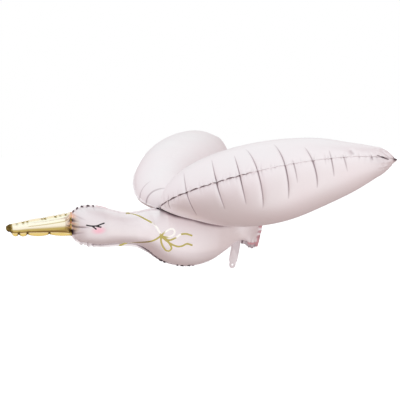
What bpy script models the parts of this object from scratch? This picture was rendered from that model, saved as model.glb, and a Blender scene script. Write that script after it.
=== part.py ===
# Stork foil balloon: one pink balloon for head, neck, body and tail, a gold beak welded to
# the head, and two leaf-shaped wing balloons that rest on the back.
# Metres, +Z up. The bird flies towards -X and its left wing reaches towards -Y.
# Shapes are built round the notch, where both wings meet the back, and an empty then moves
# them all, so that the origin is the centre of the ribbon hole in the inflation tab.

import math

import bmesh
import bpy
from mathutils import Vector

# Sizes of the inflated pieces
BODY_LENGTH = 0.950         # from the beak's weld to the middle of the tail's end
BEAK_LENGTH = 0.296         # from the weld to the blunt tip
WING_LENGTH = 1.074         # along a wing's own axis, root to tip
WING_CHORD = 0.441          # widest place across a wing, between its two seams
WING_RISE = 0.183           # how far the upper foil bulges above the seams
WING_SAG = 0.167            # how far the lower foil bulges below them

# How each wing is set on the back, in degrees
WING_SWEEP = 41.4           # swept back from straight out
WING_DIHEDRAL = 13.0        # raised towards the tip
WING_PITCH = 10.3           # leading edge up, at the root
WING_TWIST = 15.8           # further pitch gained by the tip
WING_ROOT_BACK = 0.016      # root point behind the notch
WING_ROOT_APART = 0.0055    # root point beside the middle plane
WING_ROOT_DROP = 0.009      # how far the root is tucked down onto the back
WING_DROP_REACH = 0.12      # share of the wing over which that drop fades away
WING_BOW = 0.029            # forward bow of the wing's axis, half way out
WING_SINK = 0.003           # droop of the axis there

# Foil, its welded seams and the space kept between pieces that touch
SEAM_LIP = 0.008            # width of the flat welded rim outside the air
FOIL_RIM = 0.002            # thickness that stands for the two welded foils
LIP_RUFFLE = 0.0035         # how far the rim waves from side to side
LIP_SCALLOP = 0.25          # share of the rim's width that its scalloped edge dips by
CREASE_DEPTH = 0.007        # depth of the folds that run in from a wing's seams
PUCKER_DEPTH = 0.004        # depth of the folds along the body's curved seams
TOUCH_GAP = 0.0003          # between the flat faces of the wings, and at the beak's weld
SEAT_GAP = 0.0005           # between a wing and the hollow that it presses in the back

# Inflation tab under the tail, with the hole for the ribbon
TAB_WIDTH = 0.046
TAB_DROP = 0.101            # from the tab's root down to the hole
TAB_HEAD_WIDTH = 0.034      # narrower round end that holds the hole
TAB_HEAD_STRAIGHT = 0.015   # straight sides of that end, above the hole
TAB_SHOULDER = 0.017        # sloping shoulder from there out to the full width
TAB_THICKNESS = 0.0016
TAB_LEAN = 0.019            # how far forward of its root the hole hangs
TAB_ROOT_DEPTH = 0.030      # part of the tab that is welded inside the tail's seam
RIBBON_HOLE = 0.009
HOLE_SIDES = 16

# Side outline of the body from the weld to the tail's end. Each row has the place along
# the body, then the top, the bottom and the half width, all as shares of BODY_LENGTH, with
# heights measured from the notch, and last how strongly the seams pucker there.
NOTCH_ALONG = 0.4305
TAB_ALONG = 0.8510
BODY_STATIONS = {
    "weld": (0.0000, 0.0010, -0.1143, 0.0000, 0.6),
    "brow": (0.0260, 0.0185, -0.1410, 0.0440, 1.0),
    "crown": (0.0720, 0.0285, -0.1600, 0.0720, 0.9),
    "cheek": (0.1310, 0.0235, -0.1710, 0.0800, 0.5),
    "nape": (0.1930, 0.0050, -0.1720, 0.0770, 0.1),
    "neck": (0.2580, -0.0115, -0.1740, 0.0715, 0.0),
    "throat": (0.3170, -0.0110, -0.1840, 0.0720, 0.0),
    "breast": (0.3690, -0.0040, -0.2200, 0.0870, 0.2),
    "shoulder": (0.4305, 0.0000, -0.2560, 0.1010, 0.6),
    "chest": (0.5070, -0.0080, -0.2840, 0.1110, 0.8),
    "belly": (0.6060, -0.0220, -0.2970, 0.1120, 1.0),
    "flank": (0.7070, -0.0440, -0.2790, 0.0960, 0.6),
    "rump": (0.7820, -0.0620, -0.2400, 0.0710, 0.2),
    "tail root": (0.8550, -0.0740, -0.2000, 0.0450, 0.0),
    "tail": (0.9000, -0.0760, -0.2060, 0.0350, 0.3),
    "fan": (0.9450, -0.0640, -0.2330, 0.0230, 0.9),
    "tail end": (1.0000, -0.0500, -0.2290, 0.0000, 1.0),
}
BODY_SECTIONS = 58
BODY_SEGMENTS = 12          # facets from the top seam round to the bottom seam
TAIL_SLANT = 0.245          # lean of the tail's end, backwards for each unit up
TAIL_SLANT_FROM = 0.86      # place along the body where the lean begins

# Side outline of the beak from the weld to the tip. Each row has the place along the beak,
# then the top, the bottom and the half width as shares of the weld's height, measured from
# the middle of the weld, and last the strength of the ruffles.
BEAK_STATIONS = {
    "weld": (0.00, 0.500, -0.500, 0.000, 0.2),
    "band": (0.03, 0.500, -0.490, 0.050, 0.4),
    "base": (0.12, 0.480, -0.460, 0.330, 0.8),
    "middle": (0.36, 0.390, -0.425, 0.310, 1.0),
    "front": (0.70, 0.280, -0.375, 0.200, 1.0),
    "chin": (0.90, 0.180, -0.320, 0.130, 0.8),
    "tip": (1.00, 0.150, -0.120, 0.040, 0.4),
}
BEAK_SECTIONS = 19
BEAK_SEGMENTS = 8

# Outline of a wing: each pair shapes a leaf curve, blunter towards the smaller number
CHORD_LEAF = (0.46, 0.68)
RISE_LEAF = (0.45, 0.645)
SAG_LEAF = (0.93, 0.99)
WING_BLUNT = 0.003          # share of the axis left off each end of the leaf curves
WING_CREASES = 16
WING_SEGMENTS = 12


def smooth_value(stations, column, along):
    # A smooth curve through one column of an outline, read at one place along it.
    rows = list(stations.values())
    place = [row[0] for row in rows]
    value = [row[column] for row in rows]
    last = len(rows) - 1
    index = 0
    while index < last - 1 and along > place[index + 1]:
        index += 1

    def slope(at):
        before = max(at - 1, 0)
        after = min(at + 1, last)
        return (value[after] - value[before]) / (place[after] - place[before])

    span = place[index + 1] - place[index]
    share = min(max((along - place[index]) / span, 0.0), 1.0)
    square = share * share
    cube = square * share
    return ((2 * cube - 3 * square + 1) * value[index]
            + (cube - 2 * square + share) * span * slope(index)
            + (3 * square - 2 * cube) * value[index + 1]
            + (cube - square) * span * slope(index + 1))


def pillow_ring(centre, seam_way, face_way, seam_half, face_halves, lip, sway, fold, segments):
    # One cross-section of an inflated pair of foils: two bulging faces and the welded rim
    # that stands out at both seams. fold gives how far each seam's folds press the faces in.
    half_rim = FOIL_RIM / 2
    points = []
    for sign, bulge in zip((1, -1), face_halves):
        side = []
        for step in range(segments + 1):
            angle = math.pi * step / segments
            across = seam_half * math.cos(angle)
            near_seam = abs(math.cos(angle)) * math.sin(2 * angle) ** 2
            pressed = bulge * math.sin(angle) - fold * near_seam
            out = max(pressed, half_rim)
            side.append(centre + seam_way * across + face_way * (sign * out))
        rim_out = seam_half + lip
        first = centre + seam_way * rim_out + face_way * (sign * half_rim + sway)
        final = centre - seam_way * rim_out + face_way * (sign * half_rim + sway)
        side = [first] + side + [final]
        points += side if sign > 0 else reversed(side)
    return points


def loft(name, rings):
    # A closed solid through a row of rings, with a face over each end.
    mesh = bpy.data.meshes.new(name)
    shape = bmesh.new()
    loops = [[shape.verts.new(point) for point in ring] for ring in rings]
    for near, far in zip(loops, loops[1:]):
        for index in range(len(near)):
            after = (index + 1) % len(near)
            shape.faces.new((near[index], near[after], far[after], far[index]))
    shape.faces.new(loops[0])
    shape.faces.new(loops[-1])
    bmesh.ops.recalc_face_normals(shape, faces=shape.faces)
    bmesh.ops.triangulate(shape, faces=shape.faces)
    shape.to_mesh(mesh)
    shape.free()
    mesh.shade_smooth()
    return mesh


def eased_places(count):
    # Places from 0 to 1 that stand closer together towards both ends.
    even = [index / (count - 1) for index in range(count)]
    return [0.5 * share + 0.25 * (1 - math.cos(math.pi * share)) for share in even]


def body_height(along, column):
    return smooth_value(BODY_STATIONS, column, along) * BODY_LENGTH


def weld_middle():
    return Vector((-NOTCH_ALONG * BODY_LENGTH, 0.0, (body_height(0, 1) + body_height(0, 2)) / 2))


def weld_height():
    return body_height(0, 1) - body_height(0, 2)


def body_rings():
    rings = []
    start = TOUCH_GAP / 2 / BODY_LENGTH
    for index, place in enumerate(eased_places(BODY_SECTIONS)):
        along = start + place * (1 - start)
        top = body_height(along, 1)
        bottom = body_height(along, 2)
        pucker = smooth_value(BODY_STATIONS, 4, along)
        alternate = 1 if index % 2 else -1
        lean = TAIL_SLANT * max(along - TAIL_SLANT_FROM, 0) / (1 - TAIL_SLANT_FROM)
        rings.append(pillow_ring(
            centre=Vector(((along - NOTCH_ALONG) * BODY_LENGTH, 0, (top + bottom) / 2)),
            seam_way=Vector((lean, 0, 1)),
            face_way=Vector((0, 1, 0)),
            seam_half=(top - bottom) / 2 - SEAM_LIP,
            face_halves=(body_height(along, 3), body_height(along, 3)),
            lip=SEAM_LIP * (1 - LIP_SCALLOP * pucker * max(alternate, 0)),
            sway=LIP_RUFFLE * pucker * alternate,
            fold=PUCKER_DEPTH * pucker * max(alternate, 0),
            segments=BODY_SEGMENTS))
    return rings


def beak_rings():
    rings = []
    tall = weld_height()
    start = TOUCH_GAP / 2 / BEAK_LENGTH
    for index, place in enumerate(eased_places(BEAK_SECTIONS)):
        along = start + place * (1 - start)
        top, bottom, half = (smooth_value(BEAK_STATIONS, column, along) * tall
                             for column in (1, 2, 3))
        ruffle = smooth_value(BEAK_STATIONS, 4, along)
        alternate = 1 if index % 2 else -1
        rings.append(pillow_ring(
            centre=weld_middle() + Vector((-along * BEAK_LENGTH, 0, (top + bottom) / 2)),
            seam_way=Vector((0, 0, 1)),
            face_way=Vector((0, 1, 0)),
            seam_half=max((top - bottom) / 2 - SEAM_LIP, FOIL_RIM),
            face_halves=(half, half),
            lip=SEAM_LIP * (1 - LIP_SCALLOP * ruffle * max(alternate, 0)),
            sway=LIP_RUFFLE * ruffle * alternate,
            fold=0.0,
            segments=BEAK_SEGMENTS))
    return rings


def leaf(share, shape):
    # A leaf curve from 0 at both ends to 1 at its widest place.
    front, back = shape
    widest = front / (front + back)
    return (share / widest) ** front * ((1 - share) / (1 - widest)) ** back


def wing_rings(side):
    # side is -1 for the left wing and 1 for the right one.
    sweep = math.radians(WING_SWEEP)
    rise = math.radians(WING_DIHEDRAL)
    axis = Vector((math.sin(sweep) * math.cos(rise), side * math.cos(sweep) * math.cos(rise),
                   math.sin(rise)))
    forward = Vector((-math.cos(sweep), side * math.sin(sweep), 0))
    upward = axis.cross(forward)
    upward *= math.copysign(1, upward.z)
    root = Vector((WING_ROOT_BACK, side * WING_ROOT_APART, 0))
    rings = []
    sections = 2 * WING_CREASES + 1
    for index in range(sections):
        place = (1 - math.cos(math.pi * index / (sections - 1))) / 2
        share = WING_BLUNT + place * (1 - 2 * WING_BLUNT)
        full = math.sin(math.pi * place)
        pitch = math.radians(WING_PITCH + WING_TWIST * share)
        chord_way = forward * math.cos(pitch) + upward * math.sin(pitch)
        face_way = upward * math.cos(pitch) - forward * math.sin(pitch)
        creased = 1 if index % 2 else 0
        centre = (root + axis * (share * WING_LENGTH)
                  + chord_way * (WING_BOW * math.sin(math.pi * share))
                  - upward * (WING_SINK * math.sin(math.pi * share))
                  - upward * (WING_ROOT_DROP * math.exp(-(share / WING_DROP_REACH) ** 2)))
        half = WING_CHORD / 2 * leaf(share, CHORD_LEAF)
        lip = min(SEAM_LIP, half / 2)
        rings.append(pillow_ring(
            centre=centre,
            seam_way=chord_way,
            face_way=face_way,
            seam_half=half - lip,
            face_halves=(WING_RISE * leaf(share, RISE_LEAF), WING_SAG * leaf(share, SAG_LEAF)),
            lip=lip * (1 - LIP_SCALLOP * creased),
            sway=LIP_RUFFLE * (creased - 0.5) * full,
            fold=CREASE_DEPTH * creased * full,
            segments=WING_SEGMENTS))
    return rings


def wing_mesh(name, side, growth, gap):
    # The two wings press against each other, so each is cut flat just off the middle plane.
    # A grown wing has every point moved out, and presses a seat into the back.
    mesh = loft(name, wing_rings(side))
    shape = bmesh.new()
    shape.from_mesh(mesh)
    shape.normal_update()
    moves = [(vert, vert.normal * growth) for vert in shape.verts]
    for vert, move in moves:
        vert.co += move
    everything = shape.verts[:] + shape.edges[:] + shape.faces[:]
    cut = bmesh.ops.bisect_plane(shape, geom=everything, plane_co=(0, side * gap / 2, 0),
                                 plane_no=(0, -side, 0), clear_outer=True)
    edges = [item for item in cut["geom_cut"] if isinstance(item, bmesh.types.BMEdge)]
    bmesh.ops.holes_fill(shape, edges=edges, sides=0)
    bmesh.ops.recalc_face_normals(shape, faces=shape.faces)
    bmesh.ops.triangulate(shape, faces=shape.faces)
    shape.to_mesh(mesh)
    shape.free()
    return mesh


def ribbon_hole_centre():
    root_height = body_height(TAB_ALONG, 2)
    return Vector(((TAB_ALONG - NOTCH_ALONG) * BODY_LENGTH - TAB_LEAN, 0,
                   root_height - TAB_DROP))


def arc(centre, first_way, second_way, radius, turn, count):
    # Points on an arc that starts towards first_way and turns towards second_way.
    angles = [turn * step / count for step in range(count + 1)]
    return [centre + first_way * (radius * math.cos(angle)) + second_way * (radius * math.sin(angle))
            for angle in angles]


def plate(name, outline, thickness):
    # A flat piece that stands in the middle plane.
    half = Vector((0, thickness / 2, 0))
    return loft(name, [[point - half for point in outline], [point + half for point in outline]])


def tab_mesh():
    # A flat strip with a narrower round head, leaning forward from its root in the tail.
    hole = ribbon_hole_centre()
    up = Vector((TAB_LEAN, 0, TAB_DROP)).normalized()
    back = Vector((up.z, 0, -up.x))
    root = hole + up * (math.hypot(TAB_LEAN, TAB_DROP) + TAB_ROOT_DEPTH)
    head = hole + up * TAB_HEAD_STRAIGHT
    shoulder = head + up * TAB_SHOULDER
    side = back * (TAB_WIDTH / 2)
    head_side = back * (TAB_HEAD_WIDTH / 2)
    round_end = arc(hole, back, -up, TAB_HEAD_WIDTH / 2, math.pi, HOLE_SIDES)
    outline = ([root - side, root + side, shoulder + side, head + head_side]
               + round_end + [head - head_side, shoulder - side])
    return plate("tab", outline, TAB_THICKNESS)


def ribbon_hole_mesh():
    rim = arc(ribbon_hole_centre(), Vector((1, 0, 0)), Vector((0, 0, 1)), RIBBON_HOLE / 2,
              2 * math.pi, HOLE_SIDES)
    return plate("ribbon_hole", rim[:-1], 2 * TAB_THICKNESS)


def foil(name, colour, roughness, metallic):
    material = bpy.data.materials.new(name)
    material.use_nodes = True
    shader = material.node_tree.nodes["Principled BSDF"]
    shader.inputs["Base Color"].default_value = (*colour, 1)
    shader.inputs["Roughness"].default_value = roughness
    shader.inputs["Metallic"].default_value = metallic
    return material


def add_piece(name, mesh, holder, material):
    piece = bpy.data.objects.new(name, mesh)
    bpy.context.collection.objects.link(piece)
    piece.parent = holder
    mesh.materials.append(material)
    return piece


def cut_or_join(piece, name, mesh, holder, operation, solver="EXACT"):
    # A hidden helper solid that the body is joined with or cut by.
    helper = bpy.data.objects.new(name, mesh)
    bpy.context.collection.objects.link(helper)
    helper.parent = holder
    helper.hide_render = True
    helper.display_type = "WIRE"
    boolean = piece.modifiers.new(name, "BOOLEAN")
    boolean.operation = operation
    boolean.solver = solver
    boolean.object = helper


def build():
    for thing in list(bpy.data.objects):
        bpy.data.objects.remove(thing, do_unlink=True)
    holder = bpy.data.objects.new("balloon", None)
    bpy.context.collection.objects.link(holder)
    holder.location = -ribbon_hole_centre()

    pink = foil("satin pink foil", (0.86, 0.72, 0.72), 0.32, 0.35)
    wing_pink = foil("satin pink wing foil", (0.87, 0.74, 0.74), 0.32, 0.35)
    right_pink = foil("satin pink foil, right wing", (0.87, 0.74, 0.74), 0.32, 0.35)
    gold = foil("gold mirror foil", (0.83, 0.64, 0.24), 0.18, 1.0)

    body = add_piece("body", loft("body", body_rings()), holder, pink)
    cut_or_join(body, "tab", tab_mesh(), holder, "UNION")
    cut_or_join(body, "ribbon_hole", ribbon_hole_mesh(), holder, "DIFFERENCE")
    for name, side, material in (("left_wing", -1, wing_pink), ("right_wing", 1, right_pink)):
        add_piece(name, wing_mesh(name, side, 0.0, TOUCH_GAP), holder, material)
        seat = wing_mesh("seat_" + name, side, SEAT_GAP, -TOUCH_GAP)
        cut_or_join(body, "seat_" + name, seat, holder, "DIFFERENCE", solver="MANIFOLD")
    add_piece("beak", loft("beak", beak_rings()), holder, gold)


build()
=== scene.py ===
import math

import bpy
import numpy as np
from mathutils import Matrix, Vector
from mathutils.bvhtree import BVHTree
from mathutils.kdtree import KDTree


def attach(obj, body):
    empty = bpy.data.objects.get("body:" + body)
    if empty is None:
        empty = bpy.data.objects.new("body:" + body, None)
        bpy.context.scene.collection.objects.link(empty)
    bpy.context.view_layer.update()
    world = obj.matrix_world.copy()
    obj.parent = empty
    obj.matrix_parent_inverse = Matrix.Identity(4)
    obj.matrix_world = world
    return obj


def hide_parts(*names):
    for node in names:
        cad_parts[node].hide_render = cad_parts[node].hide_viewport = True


# Stork foil balloon: a pink body with head, neck and tail, a gold beak welded to the head,
# two leaf-shaped wings resting on the back, and a flat inflation tab under the tail.
# Shapes are worked out round the notch, where both wings meet the back, then moved to place.

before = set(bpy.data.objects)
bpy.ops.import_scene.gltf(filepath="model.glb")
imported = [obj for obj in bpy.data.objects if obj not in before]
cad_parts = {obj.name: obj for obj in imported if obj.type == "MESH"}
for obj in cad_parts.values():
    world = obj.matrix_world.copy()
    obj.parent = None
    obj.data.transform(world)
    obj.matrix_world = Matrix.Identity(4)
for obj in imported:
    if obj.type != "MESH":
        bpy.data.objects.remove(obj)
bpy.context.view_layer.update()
print("Frame loaded:", sorted(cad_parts))

# Body outline from the weld to the tail's end: place along, top, bottom, half width, all as
# shares of the length with heights from the notch, then how strongly the seams pucker.
body = {
    "length": 0.950,
    "notchAlong": 0.4305,
    "outline": {
        "weld": (0.0000, 0.0010, -0.1143, 0.0000, 0.6),
        "brow": (0.0260, 0.0200, -0.1410, 0.0440, 1.0),
        "crown": (0.0600, 0.0300, -0.1560, 0.0680, 0.9),
        "cheek": (0.1310, 0.0235, -0.1710, 0.0800, 0.5),
        "nape": (0.1930, 0.0050, -0.1720, 0.0770, 0.1),
        "neck": (0.2580, -0.0115, -0.1740, 0.0715, 0.0),
        "throat": (0.3170, -0.0110, -0.1840, 0.0720, 0.0),
        "breast": (0.3690, -0.0040, -0.2095, 0.0870, 0.2),
        "shoulder": (0.4305, 0.0000, -0.2525, 0.1010, 0.6),
        "chest": (0.5070, -0.0080, -0.2840, 0.1110, 0.8),
        "belly": (0.6060, -0.0220, -0.2970, 0.1120, 1.0),
        "flank": (0.7070, -0.0440, -0.2790, 0.0960, 0.6),
        "rump": (0.7820, -0.0620, -0.2400, 0.0710, 0.2),
        "tailRoot": (0.8550, -0.0740, -0.2000, 0.0450, 0.0),
        "tail": (0.9000, -0.0760, -0.2060, 0.0350, 0.3),
        "fan": (0.9450, -0.0640, -0.2330, 0.0230, 0.9),
        "tailEnd": (1.0000, -0.0500, -0.2290, 0.0000, 1.0),
    },
    "lowerRim": {            # width of the flat rim under the body, in metres
        "weld": (0.00, 0.006), "chin": (0.05, 0.010), "cheek": (0.10, 0.012),
        "nape": (0.22, 0.014), "throat": (0.34, 0.014), "breast": (0.40, 0.009),
        "chest": (0.45, 0.006), "flank": (0.70, 0.006), "rump": (0.86, 0.008),
        "fan": (0.915, 0.018), "fin": (0.95, 0.027), "tailEnd": (1.00, 0.024),
    },
    "tailSlant": 0.245,      # lean of the tail's end, backwards for each unit up
    "slantFrom": 0.86,
    "fullFrom": 0.38, "fullTo": 0.84, "full": 0.60,    # the wings press the back wide here
    "wedge": 0.28,           # elsewhere the foil meets its seams as a wedge, not round
    "headStrip": 0.002,      # flat foil welded to the beak
    "tailStrip": 0.018,      # flat weld that closes the tail
    "rings": 360,
    "faceColumns": 120,
    "fineStretches": [(0.03, 0.14, 0.6), (0.24, 0.57, 0.4)],   # closer rings under the prints
}

seam = {
    "lip": 0.008,            # width of the flat welded rim
    "halfThickness": 0.0004,
    "lipColumns": 4,
    "foldSpacing": 0.021,    # between the small folds that a curved seam gathers
    "foldReach": 0.060,
    "weldWave": 0.0022, "weldWaveStep": 0.0060, "weldWaveReach": 0.006,    # at the beak's weld
}


def curveValue(outline, column, along):
    # a smooth curve through one column of an outline, read at many places
    table = np.array(list(outline.values()), float)
    place, value = table[:, 0], table[:, column]
    slope = np.empty_like(value)
    slope[1:-1] = (value[2:] - value[:-2]) / (place[2:] - place[:-2])
    slope[0] = (value[1] - value[0]) / (place[1] - place[0])
    slope[-1] = (value[-1] - value[-2]) / (place[-1] - place[-2])
    index = np.clip(np.searchsorted(place, along) - 1, 0, len(place) - 2)
    span = place[index + 1] - place[index]
    share = np.clip((along - place[index]) / span, 0, 1)
    square, cube = share ** 2, share ** 3
    return ((2 * cube - 3 * square + 1) * value[index]
            + (cube - 2 * square + share) * span * slope[index]
            + (3 * square - 2 * cube) * value[index + 1]
            + (cube - square) * span * slope[index + 1])


def bodyHeight(column, along):
    return curveValue(body["outline"], column, np.asarray(along, float)) * body["length"]


tab = {
    "along": 0.8510,         # place on the body's underside
    "width": 0.046,
    "drop": 0.101,           # from the root down to the hole
    "headWidth": 0.034,
    "headStraight": 0.010,
    "shoulder": 0.011,
    "thickness": 0.0016,
    "lean": 0.019,           # how far forward of its root the hole hangs
    "rootDepth": 0.020,
    "hole": 0.009,
    "weldInset": 0.0045,     # weld line inside the tab's edge
    "weldWidth": 0.0022, "weldDepth": 0.0006,
    "channel": 0.006,        # from the middle to each pressed line of the filling channel
    "channelLine": 0.0012, "channelDepth": 0.0005, "channelFrom": 0.030,
    "tint": 0.38, "weldTint": 0.12,      # the tab is tinted greyer than the body, and more where its weld lines are pressed in
}

tabHole = Vector(((tab["along"] - body["notchAlong"]) * body["length"] - tab["lean"], 0,
                  float(bodyHeight(2, tab["along"])) - tab["drop"]))
notch = -np.array(tabHole)   # the ribbon hole is the frame's origin


# Mesh helpers

def addBall(name, rings, columns):
    # a plain ball whose rings and columns become the piece's own
    bpy.ops.object.select_all(action="DESELECT")
    bpy.ops.mesh.primitive_uv_sphere_add(segments=columns, ring_count=rings, radius=1)
    piece = bpy.context.object
    piece.name = piece.data.name = name
    spots = np.empty(len(piece.data.vertices) * 3)
    piece.data.vertices.foreach_get("co", spots)
    x, y, z = spots.reshape(-1, 3).T
    ring = np.rint(np.arctan2(np.hypot(x, y), z) / math.pi * rings).astype(int)
    column = np.rint(np.arctan2(y, x) / (2 * math.pi) * columns).astype(int) % columns
    return piece, ring, column


def finishPiece(piece, places, ring, column, marks, sharpAngle=50):
    # moves every vertex to its place, turns the faces outwards and stores the marks
    piece.data.vertices.foreach_set("co", (places[ring, column] + notch).ravel())
    for name, values in marks.items():
        layer = piece.data.attributes.new(name, "FLOAT", "POINT")
        layer.data.foreach_set("value", values[ring, column].astype(np.float32))
    piece.data.update()
    bpy.ops.object.select_all(action="DESELECT")
    piece.select_set(True)
    bpy.context.view_layer.objects.active = piece
    bpy.ops.object.mode_set(mode="EDIT")
    bpy.ops.mesh.select_all(action="SELECT")
    bpy.ops.mesh.normals_make_consistent(inside=False)
    bpy.ops.object.mode_set(mode="OBJECT")
    bpy.ops.object.shade_smooth_by_angle(angle=math.radians(sharpAngle))
    print("Made", piece.name, len(piece.data.polygons), "faces")
    return piece


def pillowColumns(faceColumns):
    # one cross-section: first seam's edge, one face, second seam's edge, the other face
    quarter = np.arange(1, faceColumns + 1) / (faceColumns + 1)
    turn = math.pi * (0.6 * quarter + 0.2 * (1 - np.cos(math.pi * quarter)))
    lips = np.linspace(1, 0, seam["lipColumns"] + 1)[1:]
    sideTurn = np.concatenate([0 * lips, turn, 0 * lips + math.pi])
    sideLip = np.concatenate([lips, 0 * turn, lips[::-1]])
    angle = np.concatenate([[0], sideTurn, [math.pi], sideTurn[::-1]])
    lip = np.concatenate([[1], sideLip, [1], sideLip[::-1]])
    sign = np.concatenate([[0], np.ones_like(sideTurn), [0], -np.ones_like(sideTurn)])
    end = np.where(angle < math.pi / 2, 1, -1)
    flat = (angle < 1e-6) | (angle > math.pi - 1e-6)
    return {"angle": angle, "lip": lip, "sign": sign, "end": end, "flat": flat,
            "count": len(angle)}


def arcFromSeam(half, bulge, angle):
    # length over the curved face from its seam to each column
    nodes, weights = np.polynomial.legendre.leggauss(8)
    total = 0
    for node, weight in zip(nodes, weights):
        turn = angle * (node + 1) / 2
        total = total + weight * np.hypot(half * np.sin(turn), bulge * np.cos(turn))
    return total * angle / 2


def seamFolds(start, finish, spacing, seed):
    # where a seam gathers, and how deep, long and bent each small fold is
    random = np.random.default_rng(seed)
    count = int((finish - start) / spacing)
    place = start + (np.arange(count) + 0.5 + random.uniform(-0.28, 0.28, count)) * spacing
    return {
        "place": place,
        "depth": random.uniform(0.35, 1.0, count),
        "reach": random.uniform(0.45, 1.0, count),
        "lean": random.uniform(-0.25, 0.25, count),
        "sway": random.uniform(0.35, 1.0, count) * np.where(np.arange(count) % 2, 1, -1),
    }


def foldDepth(along, fromSeam, folds, reach, width):
    # how far the small folds of one seam press the face in
    total = np.zeros(np.broadcast(along, fromSeam).shape)
    for place, depth, far, lean in zip(folds["place"], folds["depth"], folds["reach"],
                                       folds["lean"]):
        fade = np.clip(1 - fromSeam / (far * reach), 0, 1) ** 1.5
        away = along - place - lean * fromSeam
        total += depth * fade * np.exp(-(away / (width * (0.7 + 0.6 * fromSeam / reach))) ** 2)
    return total


def seamSway(along, folds):
    # the rim waves from side to side between its folds
    return np.interp(along, folds["place"], folds["sway"])


def bump(value, middle, width):
    return np.exp(-((value - middle) / width) ** 2)


def spacedPlaces(fine, crowd, rings):
    # ring places, closer together where the crowd curve climbs faster
    return np.interp(np.linspace(crowd[0], crowd[-1], rings + 1), crowd, fine)


def inwardWays(cols, half, bulge, seamPull):
    # which way a fold presses the foil, across and out: square to the face, or at the seam's
    # flat rim straight in by a share of the fold's depth
    angle = cols["angle"]
    level = np.hypot(bulge * np.cos(angle), half * np.sin(angle)) + 1e-9
    across = np.where(cols["flat"], -seamPull * cols["end"], -np.cos(angle) * bulge / level)
    return across, np.where(cols["flat"], 0, -np.sin(angle) * half / level)


# Wings

wing = {
    "length": 1.074, "chord": 0.441, "rise": 0.183, "sag": 0.167,
    "sweep": 41.4, "dihedral": 13.0, "pitch": 10.3, "twist": 15.8,     # degrees
    "rootBack": 0.016, "rootApart": 0.0055, "rootDrop": 0.009, "dropReach": 0.12,
    "bow": 0.029, "sink": 0.003,
    "chordLeaf": (0.46, 0.68), "riseLeaf": (0.45, 0.645), "sagLeaf": (0.93, 0.99),
    "rings": 400,
    "faceColumns": 84,
    "pressRound": 0.006,     # rounding where the wings press on each other
    "sway": 0.0032,
    "foldDepth": 0.0030,
    "foldWidth": 0.0050,
    "seamPull": 0.45,        # share of a crease's depth by which it pulls the seam in
    "calmFrom": 0.53,        # beyond this place the left wing's leading rim lies flat
    "calmRim": 0.4,          # and shows this share of its width
    "dashGap": 3, "dashGapWidth": 0.0048, "dashHeight": 0.0026,    # the painted shade dashes under the rim break at every third tuck
    "tipShade": 0.28, "tipShadeSpan": (0.87, 0.95),   # painted shade greys the gathered tip's lower face
    "tipKnot": 0.008,        # length of the painted shade on the knot at the tip
    "hollow": 0.008,         # reach of the painted shade in the hollow where the wings meet
    # where the inflated faces are fuller or flatter than the plain leaf: place as a share of
    # the length, reach, and height as a share of the face's own
    "upperSwells": [(0.84, 0.07, -0.045), (0.965, 0.03, 0.05)],
    "lowerSwells": [(0.14, 0.06, -0.020), (0.70, 0.13, -0.060), (0.955, 0.045, 0.06)],
    "farFull": 0.007, "farFullAt": 0.06, "farFullReach": 0.05,   # the right wing's wider root
    "tipRound": 0.02,
    "crumple": 0.0016, "crumpleFrom": 0.93,      # small facets of the gathered tip
}

# Creases across the leading seam, in mm: place from the root, lean and bow for each 100 mm
# of foil, reach over the upper and the lower face, and depth.
leftCreases = [
    (105, 20, 10, 26, 42, 4.5),
    (219, -12, -7, 112, 128, 5.5),
    (371, -13, -8, 132, 128, 7.5),
    (478, -12, -12, 112, 128, 7.5),
    (555, -18, -19, 138, 168, 7.5),
    (667, -15, -21, 132, 150, 7.5),
    (702, -16, -20, 16, 84, 4.0),
    (774, -24, -26, 72, 124, 6.0),
    (845, -9, -19, 40, 80, 4.5),
    (891, -16, -20, 14, 64, 3.5),
    (990, -12, -20, 8, 18, 2.5),
]
rightCreases = [
    (30, 9, 4, 160, 34, 7.0),
    (64, 12, 3, 110, 40, 4.5),
    (140, 10, 3, 30, 70, 4.5),
    (236, -10, -7, 40, 120, 6.5),
    (330, -12, -8, 26, 90, 5.5),
    (452, -13, -10, 44, 128, 7.0),
    (566, -12, -14, 38, 140, 7.5),
    (668, -10, -16, 48, 120, 6.5),
    (760, -14, -18, 60, 104, 6.0),
    (842, -9, -19, 40, 76, 4.5),
    (905, -18, -20, 22, 56, 3.5),
    (952, -12, -20, 14, 32, 3.0),
]

# Short grooves pressed in a wing, in mm: from and to as place and arc over the seam, then
# width, depth and the darkness of the painted shade along them. The first is the dent near
# the tip, the rest its folded seam.
leftGrooves = [
    (916, 30, 924, 15, 11.0, 4.5, 0.6),
    (1011, 6, 1044, -8, 3.0, 5.0, 2.4),
    (1026, 26, 1046, 8, 4.0, 2.5, 0.5),
]
rightGrooves = [(800, 30, 812, 4, 6.0, 2.5, 0.5)]


def leaf(share, shape):
    # a leaf curve from 0 at both ends to 1 at its widest place
    front, back = shape
    widest = front / (front + back)
    return (share / widest) ** front * ((1 - share) / (1 - widest)) ** back


def leafSlope(share, shape):
    front, back = shape
    return leaf(share, shape) * (front / share - back / (1 - share))


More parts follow.
